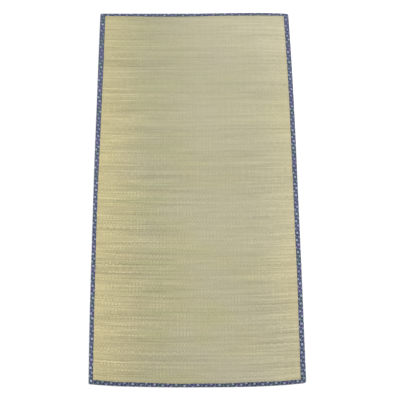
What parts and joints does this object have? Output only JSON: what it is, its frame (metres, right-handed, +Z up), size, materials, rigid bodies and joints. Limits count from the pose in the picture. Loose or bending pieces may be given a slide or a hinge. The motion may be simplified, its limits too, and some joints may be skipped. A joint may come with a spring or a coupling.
{
  "type": "cattail mat",
  "caption": "Flat rectangular sleeping or floor mat of woven stems with low lengthwise ribs, edged all round with a narrow folded strip of printed cotton.",
  "frame": {"origin": "centre of the mat's outline box, on the surface that the mat lies on", "axes": "+X across the mat, +Y along its length towards the head end, +Z up out of its top face"},
  "size_m": [0.8814, 1.7596, 0.0044],
  "materials": {
    "cattail_weave": "dry woven stems, satin",
    "printed_cotton": "matt plain-weave cotton with a small pale print"
  },
  "bodies": {
    "root": {"mat_panel": "cattail_weave", "binding_left": "printed_cotton", "binding_right": "printed_cotton", "binding_head": "printed_cotton", "binding_foot": "printed_cotton"}
  },
  "joints": []
}
